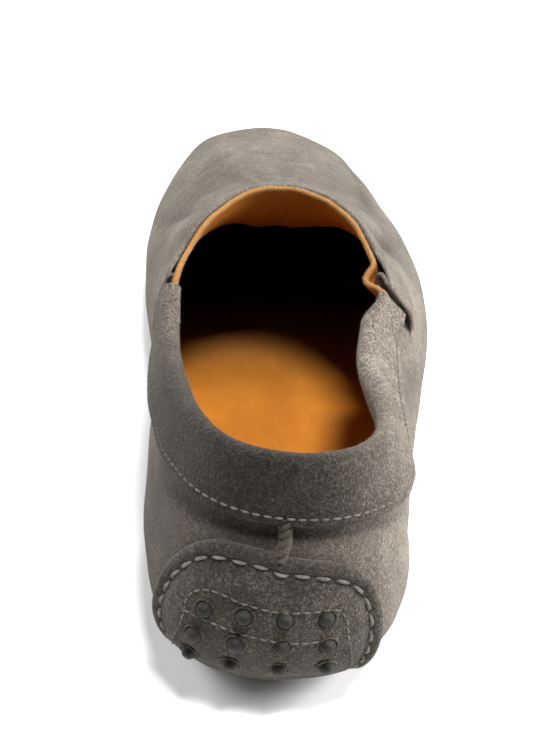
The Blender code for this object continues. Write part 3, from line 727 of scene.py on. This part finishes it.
# Rubber studs, in millimetres. Columns of the profile: share of the radius, share of the height.
# The first two rows are a thin flange of dark rubber round the stud's foot: a dark ring put there as painted
# shade.
STUD_PROFILE = (
    (1.13, -0.2), (1.13, 0.03), (1.01, 0.05), (0.96, 0.25), (0.84, 0.5), (0.68, 0.78), (0.5, 0.95),
    (0.22, 1.0),
)
STUD_RADIUS, SOLE_STUD_HEIGHT, BACK_STUD_HEIGHT, STUD_SIDES = 1.9, 2.9, 1.8, 20
# Rows on the heel, as in the part. Columns: name, level, place of the first stud, step to the next.
BACK_ROWS = (
    ("back_a", 0.155, -0.83, 0.41), ("back_b", -0.015, -0.94, 0.455), ("back_c", -0.225, -1.05, 0.50),
)
BACK_COUNT = 4
STUD_LIFT = 1.95 * MM
# Lip of suede round a stud: gap and radius, points round its section and round the stud.
LIP_GAP, LIP_RADIUS, LIP_POINTS, LIP_SIDES = 0.22, 0.30, 6, 24
UPRIGHT = 0.9


def tube_faces(rings, sides):
    """Faces of a tube with its ends closed."""
    ends = [list(range(sides)), [(rings - 1) * sides + k for k in range(sides)]]
    return grid_faces(rings, sides, True, False).tolist() + ends


def revolve(base, direction, profile, sides):
    """Points round an axis from a profile of (radius, height) in millimetres."""
    direction = unit(np.asarray(direction, float))
    helper = np.array((0.0, 1.0, 0.0) if abs(direction[1]) < UPRIGHT else (1.0, 0.0, 0.0))
    side = unit(np.cross(helper, direction))
    other = np.cross(direction, side)
    turns = np.arange(sides) * 2 * math.pi / sides
    circle = np.outer(np.cos(turns), side) + np.outer(np.sin(turns), other)
    rings = [base + direction * height * MM + circle * radius * MM for radius, height in profile]
    return np.concatenate(rings)


def make_stud(spot, direction, height):
    """Points and faces of a stud."""
    profile = [(radius * STUD_RADIUS, share * height) for radius, share in STUD_PROFILE]
    return revolve(spot, direction, profile, STUD_SIDES), tube_faces(len(profile), STUD_SIDES)


def make_many(name, parts, material):
    """Many small solids as one piece."""
    faces, start = [], 0
    for points, polygons in parts:
        faces += [[start + int(c) for c in polygon] for polygon in polygons]
        start += len(points)
    return make_piece(name, np.concatenate([points for points, _ in parts]), faces, material)


def build_studs(rubber, suede):
    """All rubber studs as one mesh, and the lips of suede they come through on the heel."""
    solids, lips, names = [], [], []
    foot = STUD_PROFILE[0][0] * STUD_RADIUS + LIP_GAP
    turns = np.linspace(0, 2 * math.pi, LIP_POINTS + 1)[:-1]
    ring = [(foot + LIP_RADIUS * math.cos(a), LIP_RADIUS * math.sin(a)) for a in turns]
    lip_faces = grid_faces(LIP_POINTS, LIP_SIDES, True, True).tolist()
    for row, level, first, step in BACK_ROWS:
        for number in range(BACK_COUNT):
            place, level = np.array(first + step * number), np.array(level)
            spot, direction = last_point(place, level, STUD_LIFT), plain_normal(place, level)
            solids.append(make_stud(spot, direction, BACK_STUD_HEIGHT))
            lips.append((revolve(spot, direction, ring, LIP_SIDES), lip_faces))
            names.append(f"stud_{row}_{number + 1}")
    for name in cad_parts:
        if name.startswith(("stud_heel", "stud_fore")):
            low, high = (np.array(corner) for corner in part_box(name))
            spot = np.array(((low[0] + high[0]) / 2, (low[1] + high[1]) / 2, high[2])) - SHIFT
            solids.append(make_stud(spot, (0, 0, -1), SOLE_STUD_HEIGHT))
            names.append(name)
    dress(make_many("studs_rubber", solids, rubber), "rubber", *names)
    dress(make_many("stud_lips", lips, suede), "suede")


# Thread: sides and steps of a stitch, how deep it lies, how its bow and its ends are rounded.
THREAD_SIDES, THREAD_STEPS = 6, 7
THREAD_SINK, THREAD_BOW_POWER, THREAD_END, THREAD_END_POWER = 0.55, 0.7, 0.5, 0.5
# Stitches, in millimetres.
SADDLE_STITCH = dict(pitch=4.7, length=3.5, radius=0.46, bow=0.55, phase=1.0)
BOX_STITCH = dict(pitch=2.3, length=1.75, radius=0.27, bow=0.28)
BAND_STITCH = dict(pitch=2.5, length=2.0, radius=0.31, bow=0.3)
SADDLE_INSET, SADDLE_RISE, SADDLE_ABOVE = 3.3 * MM, 0.1 * MM, 10 * MM
# Fine stitching round the studs. Columns: place and level of the corners.
BOX_LINES = (
    ((-1.46, -0.34), (-1.26, -0.12), (-1.12, 0.04), (-1.06, 0.19), (-0.90, 0.255), (-0.70, 0.265),
     (-0.42, 0.225), (-0.10, 0.20), (0.25, 0.20), (0.50, 0.20), (0.60, 0.14), (0.64, 0.02), (0.72, -0.18),
     (0.80, -0.40)),
    ((-1.10, 0.11), (-0.80, 0.095), (-0.45, 0.05), (-0.10, 0.025), (0.20, 0.015), (0.63, 0.03)),
)
BOX_STEPS = 260


def stitches(points, normals, pitch, length, radius, bow, phase=0.0):
    """Bowed thread stitches along a line of points with outward normals; sizes in millimetres."""
    run = run_along(points) / MM
    made = []
    turns = np.arange(THREAD_SIDES) * 2 * math.pi / THREAD_SIDES
    t = np.linspace(0, 1, THREAD_STEPS)
    arch = np.sin(math.pi * t)
    lift = bow * arch ** THREAD_BOW_POWER - THREAD_SINK * radius
    size = radius * (THREAD_END + (1 - THREAD_END) * arch ** THREAD_END_POWER)
    for start in np.arange(phase, run[-1] - length, pitch):
        spots = start + t * length
        out = unit(read_along(spots, run, normals))
        line = read_along(spots, run, points) + out * (lift[:, None] * MM)
        aside = unit(np.cross(out, unit(np.gradient(line, axis=0))))
        ring = aside[:, None] * np.cos(turns)[None, :, None] + out[:, None] * np.sin(turns)[None, :, None]
        tube = line[:, None] + ring * size[:, None, None] * MM
        made.append((tube.reshape(-1, 3), tube_faces(THREAD_STEPS, THREAD_SIDES)))
    return made


def build_stitches(thread, fine_thread):
    """Saddle stitches of the patch rim, fine stitches of the band and the stud field."""
    places, heights = patch_contour(SADDLE_INSET)
    profile = np.array(PATCH_PROFILE[PATCH_RIM_ROW:]) * MM
    line = patch_point(places, heights, np.interp(SADDLE_INSET, *profile.T) + SADDLE_RISE)
    outward = plain_normal(places, levels_at_height(places, heights))
    keep = heights > SADDLE_ABOVE
    saddle = stitches(line[keep], outward[keep], **SADDLE_STITCH)
    dress(make_many("saddle_stitches", saddle, thread), "suede_band")

    fine = []
    for corners in BOX_LINES:
        places, levels = drawn_out(corners, BOX_STEPS).T
        line = patch_point(places, plain_point(places, levels)[:, 2], PATCH_FIELD)
        fine += stitches(line, plain_normal(places, levels), **BOX_STITCH)
    places = BAND_PLACES
    levels = level_below_topline(places, band_height(places) * (1 - BAND_SEAM))
    line = band_point(places, levels, band_outside(places, BAND_SEAM))
    fine += stitches(line, plain_normal(places, levels), **BAND_STITCH)
    dress(make_many("fine_stitches", fine, fine_thread), "suede_band")


# Columns: piece, count of fibres, how strongly they follow area (below 1 they gather on finely meshed
# edges), number on the vertices that thins them out.
NAP_SPOTS = (
    ("upper_suede", 16000, 1.0, None),
    ("collar_band_suede", 15000, 0.5, None),
    ("heel_patch_suede", 8500, 0.45, None),
    ("sole_suede", 500, 1.0, None),
)
RAW_EDGE_SPOTS = (("lining", 10000, 1.0, "raw_edge"),)
# Fibres: way they are brushed, least and most rise, length and width in mm, depth of the root.
NAP_SEED, FIBRE_BRUSHED, FIBRE_RISE, FIBRE_LEAN = 11, np.array((0.2, 0.5, 0.5)), (0.25, 0.8), 0.6
FIBRE_LENGTH, FIBRE_WIDTH, FIBRE_ROOT, FIBRE_SKEW = (0.30, 0.85), (0.030, 0.055), 0.08, 0.01
FIBRE_FACES = ((0, 2, 1), (0, 1, 3), (1, 2, 3), (2, 0, 3))


def mesh_values(items, name, width, kind=np.float32):
    """Values of a mesh's items as an array with a row for each."""
    values = np.zeros(len(items) * width, kind)
    items.foreach_get(name, values)
    return values.reshape(-1, width)


def scatter(name, number, spread, thinned, rng):
    """Thin spikes scattered over a piece: four points each."""
    mesh = bpy.data.objects[name].data
    mesh.calc_loop_triangles()
    corners = mesh_values(mesh.loop_triangles, "vertices", 3, np.int32)
    tri = mesh_values(mesh.vertices, "co", 3)[corners].astype(float)
    first, second = tri[:, 1] - tri[:, 0], tri[:, 2] - tri[:, 0]
    cross = np.cross(first, second)
    weight = (np.linalg.norm(cross, axis=1) / 2) ** spread
    if thinned:
        marks = mesh_values(mesh.attributes[thinned].data, "value", 1)[:, 0]
        weight = weight * marks[corners].mean(axis=1)
    pick = rng.choice(len(tri), number, p=weight / weight.sum())
    a, b = rng.random(number), rng.random(number)
    flip = a + b > 1
    a[flip], b[flip] = 1 - a[flip], 1 - b[flip]
    spot = tri[pick, 0] + first[pick] * a[:, None] + second[pick] * b[:, None]
    normal = unit(cross[pick])
    lean = unit(rng.normal(size=(number, 3)) + FIBRE_BRUSHED)
    lean = unit(lean - normal * (lean * normal).sum(1, keepdims=True))
    rise = rng.uniform(*FIBRE_RISE, number)[:, None]
    heading = unit(normal * rise + lean * (1 - rise * FIBRE_LEAN))
    length = rng.uniform(*FIBRE_LENGTH, number)[:, None] * MM
    width = rng.uniform(*FIBRE_WIDTH, number)[:, None] * MM
    side = unit(np.cross(heading, normal + FIBRE_SKEW))
    other = np.cross(heading, side)
    root = spot - normal * FIBRE_ROOT * MM
    base = [root + (side * math.cos(t) + other * math.sin(t)) * width for t in np.arange(3) * 2 * math.pi / 3]
    return np.stack(base + [root + heading * length], 1)


def build_nap(name, slot, spots, material):
    """Short loose fibres as one mesh of thin spikes."""
    rng = np.random.default_rng(NAP_SEED)
    spikes = np.concatenate([scatter(*row, rng) for row in spots]) - SHIFT
    start = np.arange(len(spikes))[:, None] * 4
    faces = np.concatenate([start + np.array(f) for f in FIBRE_FACES])
    return dress(make_piece(name, spikes.reshape(-1, 3), faces, material), slot)


# Sockets of the Mix node for colours: factor, two colours, result.
MIX_FACTOR, MIX_PLAIN, MIX_COLOUR, MIX_RESULT = 0, 6, 7, 2


class Nodes:
    """Small helper to wire a Principled material."""

    def __init__(self, name):
        self.material = bpy.data.materials.new(name)
        self.material.use_nodes = True
        self.tree = self.material.node_tree
        self.shader = self.tree.nodes["Principled BSDF"]
        self.where = self.add("TexCoord", {}, "Object")

    def feed(self, socket, value):
        """Link or plain value for a socket."""
        if isinstance(value, bpy.types.NodeSocket):
            self.tree.links.new(value, socket)
        else:
            socket.default_value = value

    def add(self, kind, inputs, out=0, **settings):
        """Output of a new node with its settings, and values or links on its sockets."""
        node = self.tree.nodes.new("ShaderNode" + kind)
        for name, value in settings.items():
            setattr(node, name, value)
        for key, value in inputs.items():
            self.feed(node.inputs[key], value)
        return node.outputs[out]

    def set(self, **values):
        """Values or links on the shader's sockets; an underscore stands for a space."""
        for name, value in values.items():
            self.feed(self.shader.inputs[name.replace("_", " ")], value)

    def noise(self, scale, detail, roughness, stretch=None):
        """Noise over the shoe's own coordinates."""
        where = self.add("Mapping", {"Vector": self.where, "Scale": stretch}) if stretch else self.where
        sockets = {"Vector": where, "Scale": scale, "Detail": detail, "Roughness": roughness}
        return self.add("TexNoise", sockets, "Fac")

    def math(self, kind, a, b):
        """Two values added, subtracted or multiplied."""
        return self.add("Math", {0: a, 1: b}, operation=kind)

    def blend(self, parts):
        """Weighted sum of noises, centred on 0.5."""
        total = 0.5
        for value, weight in parts:
            total = self.math("ADD", self.math("MULTIPLY", self.math("SUBTRACT", value, 0.5), weight), total)
        return total

    def ramp(self, value, stops, colours):
        """Colour by value, with a colour at each stop."""
        result = self.add("ValToRGB", {"Fac": value}, "Color")
        band = result.node.color_ramp
        while len(band.elements) < len(stops):
            band.elements.new(0.5)
        for element, spot, colour in zip(band.elements, stops, colours):
            element.position = spot
            element.color = (*colour, 1)
        return result

    def along(self, start, end, first, last, tilt=0.0):
        """Value from first to last between two distances along the shoe, in metres, turned by tilt."""
        x, y = (self.add("SeparateXYZ", {0: self.where}, axis) for axis in "XY")
        distance = self.math("ADD", self.math("MULTIPLY", x, tilt), y)
        sockets = dict(enumerate((distance, start, end, first, last)))
        return self.add("MapRange", sockets, interpolation_type='SMOOTHSTEP')

    def marked(self, name):
        """Number marked on the vertices."""
        return self.add("Attribute", {}, "Fac", attribute_name=name)

    def shade(self, colour, factor):
        """Colour times a factor."""
        return self.add("VectorMath", {0: colour, "Scale": factor}, operation='SCALE')

    def mix(self, plain, colour, factor):
        """Plain colour at factor 0, a wired colour at 1."""
        sockets = {MIX_FACTOR: factor, MIX_PLAIN: plain, MIX_COLOUR: colour}
        return self.add("Mix", sockets, MIX_RESULT, data_type='RGBA')

    def bump(self, height, strength, distance):
        """Fine relief."""
        self.set(Normal=self.add("Bump", {"Strength": strength, "Distance": distance, "Height": height}))


# Colours from dark to light, and the values at which each kind of material has them.
COLOURS = {
    "suede_brushed": ((0.054, 0.046, 0.037), (0.135, 0.116, 0.096), (0.300, 0.264, 0.222)),
    "suede_collar": ((0.044, 0.037, 0.029), (0.132, 0.112, 0.091), (0.400, 0.345, 0.285)),
    "suede_bottom": ((0.045, 0.037, 0.031), (0.110, 0.094, 0.080), (0.230, 0.200, 0.172)),
    # The heel patch's suede is a much darker copy of the same suede: painted shade for the back of the heel.
    "suede_heel_painted_shade": ((0.012, 0.011, 0.009), (0.036, 0.031, 0.0255), (0.150, 0.132, 0.111)),
    "suede_fibres": ((0.110, 0.096, 0.080), (0.215, 0.190, 0.160), (0.400, 0.360, 0.310)),
    "lining_fibres": ((0.380, 0.230, 0.100), (0.540, 0.370, 0.190), (0.700, 0.540, 0.340)),
    "lining_tan": ((0.21, 0.070, 0.008), (0.30, 0.108, 0.012), (0.38, 0.150, 0.020)),
    "insole_tan": ((0.27, 0.086, 0.008), (0.39, 0.136, 0.013), (0.52, 0.192, 0.022)),
    "rubber_moulded": ((0.005, 0.005, 0.004), (0.011, 0.010, 0.008), (0.034, 0.030, 0.025)),
    "thread_waxed": ((0.055, 0.049, 0.042), (0.168, 0.156, 0.135)),
    "thread_fine": ((0.045, 0.041, 0.035), (0.130, 0.120, 0.102)),
}
SUEDE_STOPS, LEATHER_STOPS = (0.20, 0.52, 0.88), (0.25, 0.5, 0.78)
PLAIN_STOPS = {2: (0.25, 0.75), 3: (0.3, 0.55, 0.8)}
# The second colour below is the painted shade of the lining and the insole deep inside the shoe.
SHEEN_TINT, INSIDE_PAINTED_SHADE = (0.88, 0.82, 0.75, 1), (0.060, 0.030, 0.011, 1)
# Painted shade: the suede is darker towards the heel and, by the tilt, towards its inner side, and the lining
# and the insole
# are painted dark inside the forefoot: from and to in metres, first and last share, and tilt.
SUEDE_PAINTED_SHADE = (-0.14, 0.0, 0.90, 0.85)
UPPER_PAINTED_SHADE = (-0.142, -0.104, 0.40, 0.88, 0.7)
BAND_PAINTED_SHADE = (-0.140, -0.055, 0.14, 0.88, 1.2)
LINING_PAINTED_SHADE = (0.005, 0.045, 1.0, 0.0)
INSOLE_PAINTED_SHADE = (-0.040, 0.050, 1.0, 0.0)
# Painted shade in the troughs of the suede and painted highlight on its ridges, by this share for each
# millimetre.
FOLD_PAINTED_SHADE = 0.38


def suede_material(name, nap=1.0, painted_shade=SUEDE_PAINTED_SHADE, sheen=0.08, fold=None):
    """Brushed suede: faint clouds, fine fibres with pale tips, soft sheen."""
    n = Nodes(name)
    cloud, patch = n.noise(22, 4, 0.6), n.noise(170, 4, 0.6)
    fleck, fibre = n.noise(1150, 4, 0.7), n.noise(2100, 2, 0.7)
    value = n.blend(((cloud, 0.42), (patch, 0.36), (fleck, 0.85 * nap), (fibre, 0.8 * nap)))
    # Painted shade: the colour is darker by place on the shoe, and in the troughs of the creases, lighter on
    # their ridges.
    share = n.along(*painted_shade)
    if fold:
        share = n.math("MULTIPLY", share, n.math("ADD", n.math("MULTIPLY", n.marked(fold), FOLD_PAINTED_SHADE), 1.0))
    n.bump(n.blend(((patch, 0.3), (fleck, 1.0), (fibre, 0.7))), 0.65 * nap, 0.0009)
    n.set(Base_Color=n.shade(n.ramp(value, SUEDE_STOPS, COLOURS[name]), share), Roughness=0.95,
          Specular_IOR_Level=0.1, Sheen_Weight=sheen, Sheen_Roughness=0.4, Sheen_Tint=SHEEN_TINT)
    return n.material


def leather_material(name, painted_shade, painted_lit=None):
    """Smooth lining leather: warm cloudy tan with a fine grain and low gloss."""
    n = Nodes(name)
    cloud, streak, grain = n.noise(24, 4, 0.6), n.noise(90, 4, 0.6, (1.0, 0.18, 1.0)), n.noise(1100, 3, 0.6)
    value = n.blend(((cloud, 0.6), (streak, 0.35), (grain, 0.25)))
    # Painted shade: share of lit leather, falling to the painted shade colour inside the forefoot and deep
    # under the throat.
    painted_light_share = n.along(*painted_shade)
    if painted_lit:
        painted_light_share = n.math("MULTIPLY", painted_light_share, n.marked(painted_lit))
    n.bump(grain, 0.22, 0.0003)
    n.set(Base_Color=n.mix(INSIDE_PAINTED_SHADE, n.ramp(value, LEATHER_STOPS, COLOURS[name]), painted_light_share),
          Roughness=0.60, Specular_IOR_Level=0.18)
    return n.material


# Noises with scale, detail, roughness and weight; strength and depth of the relief.
THREAD_LOOK = dict(cloud=((160, 3, 0.6), 0.7), grain=((1500, 3, 0.6), 0.9), bump=(0.4, 0.0003),
                   Roughness=0.75, Specular_IOR_Level=0.25)
RUBBER_LOOK = dict(cloud=((420, 5, 0.65), 0.9), grain=((2400, 2, 0.6), 0.3), bump=(0.18, 0.0002),
                   Roughness=0.62, Specular_IOR_Level=0.2)


def plain_material(name, cloud, grain, bump, **finish):
    """Clouds and a fine grain, each a noise and its weight, with the grain as relief."""
    n = Nodes(name)
    (cloud, cloud_weight), (grain, grain_weight) = cloud, grain
    fine = n.noise(*grain)
    value = n.blend(((n.noise(*cloud), cloud_weight), (fine, grain_weight)))
    colours = COLOURS[name]
    n.bump(fine, *bump)
    n.set(Base_Color=n.ramp(value, PLAIN_STOPS[len(colours)], colours), **finish)
    return n.material


# Lights: place, aim, width, depth (metres) and power (watts).
LIGHTS = (
    ("overhead", (0.15, -0.38, 1.16), (0.0, 0.0, 0.03), 0.30, 0.24, 24.0),
    ("side", (1.00, 0.02, 0.55), (0.0, -0.03, 0.04), 0.6, 0.5, 27.0),
    ("front", (-1.05, 0.50, 0.72), (0.0, 0.05, 0.05), 1.0, 0.8, 23.0),
)
WORLD = 0.09
FLOOR_REACH, FLOOR_COLOUR = 4.0, (0.86, 0.86, 0.86, 1)
# The photograph's view: target, then angles in degrees, distance in metres and lens on a 36 mm sensor.
VIEW_TARGET = (0.0, 110.0, 30.0)
VIEW_AZIMUTH, VIEW_ELEVATION, VIEW_DISTANCE, VIEW_ROLL = -2.52, 32.56, 0.35816, 2.6
VIEW_LENS, VIEW_SENSOR, VIEW_CLIP = 59.28, 36.0, 0.01


def build_stage():
    """Pale floor, and soft light from above the heel, the outer side and the inner side of the toe."""
    mesh = bpy.data.meshes.new("floor")
    corners = [(x * FLOOR_REACH, y * FLOOR_REACH, 0) for x, y in ((-1, -1), (1, -1), (1, 1), (-1, 1))]
    mesh.from_pydata(corners, [], [(0, 1, 2, 3)])
    pale = Nodes("floor_pale")
    pale.set(Base_Color=FLOOR_COLOUR, Roughness=0.9, Specular_IOR_Level=0.1)
    mesh.materials.append(pale.material)
    put("floor", mesh)
    for name, spot, aim, width, depth, power in LIGHTS:
        light = bpy.data.lights.new(name, 'AREA')
        light.shape = 'RECTANGLE'
        light.size, light.size_y, light.energy = width, depth, power
        item = put(name, light)
        item.location = spot
        item.rotation_euler = (Vector(aim) - Vector(spot)).to_track_quat('-Z', 'Y').to_euler()
    world = bpy.data.worlds.new("studio")
    world.use_nodes = True
    background = world.node_tree.nodes["Background"].inputs
    background["Color"].default_value, background["Strength"].default_value = (1, 1, 1, 1), WORLD
    bpy.context.scene.world = world
    bpy.context.scene.view_settings.view_transform = 'Standard'


def build_camera():
    """Camera at the photograph's angle to the shoe."""
    data = bpy.data.cameras.new("photo_view")
    data.lens, data.sensor_width, data.clip_start = VIEW_LENS, VIEW_SENSOR, VIEW_CLIP
    camera = put("photo_view", data)
    azimuth, pitch, roll = (math.radians(a) for a in (VIEW_AZIMUTH, 90 - VIEW_ELEVATION, VIEW_ROLL))
    around = Matrix.Rotation(azimuth, 4, 'Z') @ Matrix.Rotation(pitch, 4, 'X')
    away = Matrix.Translation((0, 0, VIEW_DISTANCE)) @ Matrix.Rotation(roll, 4, 'Z')
    camera.matrix_world = Matrix.Translation(np.array(VIEW_TARGET) * MM + SHIFT) @ around @ away
    bpy.context.scene.camera = camera


def main():
    """Materials, pieces, stage and camera."""
    suede = suede_material("suede_brushed", painted_shade=UPPER_PAINTED_SHADE, fold="fold")
    band = suede_material("suede_collar", nap=1.3, painted_shade=BAND_PAINTED_SHADE, sheen=0.12)
    bottom = suede_material("suede_bottom", nap=0.8)
    heel = suede_material("suede_heel_painted_shade", sheen=0.16)
    tan = leather_material("lining_tan", LINING_PAINTED_SHADE, "painted_lit")
    seat = leather_material("insole_tan", INSOLE_PAINTED_SHADE)
    thread, fine = (plain_material(name, **THREAD_LOOK) for name in ("thread_waxed", "thread_fine"))
    rubber = plain_material("rubber_moulded", **RUBBER_LOOK)
    nap = suede_material("suede_fibres", painted_shade=UPPER_PAINTED_SHADE)
    raw = suede_material("lining_fibres")
    build_upper(suede)
    build_lining(tan)
    build_collar_band(band)
    build_heel_patch(heel)
    build_back_tab(suede)
    build_sole(bottom)
    build_insole(seat)
    build_studs(rubber, heel)
    build_stitches(thread, fine)
    build_nap("nap", "suede", NAP_SPOTS, nap)
    build_nap("lining_raw_edge", "tan_leather", RAW_EDGE_SPOTS, raw)
    build_stage()
    build_camera()


main()
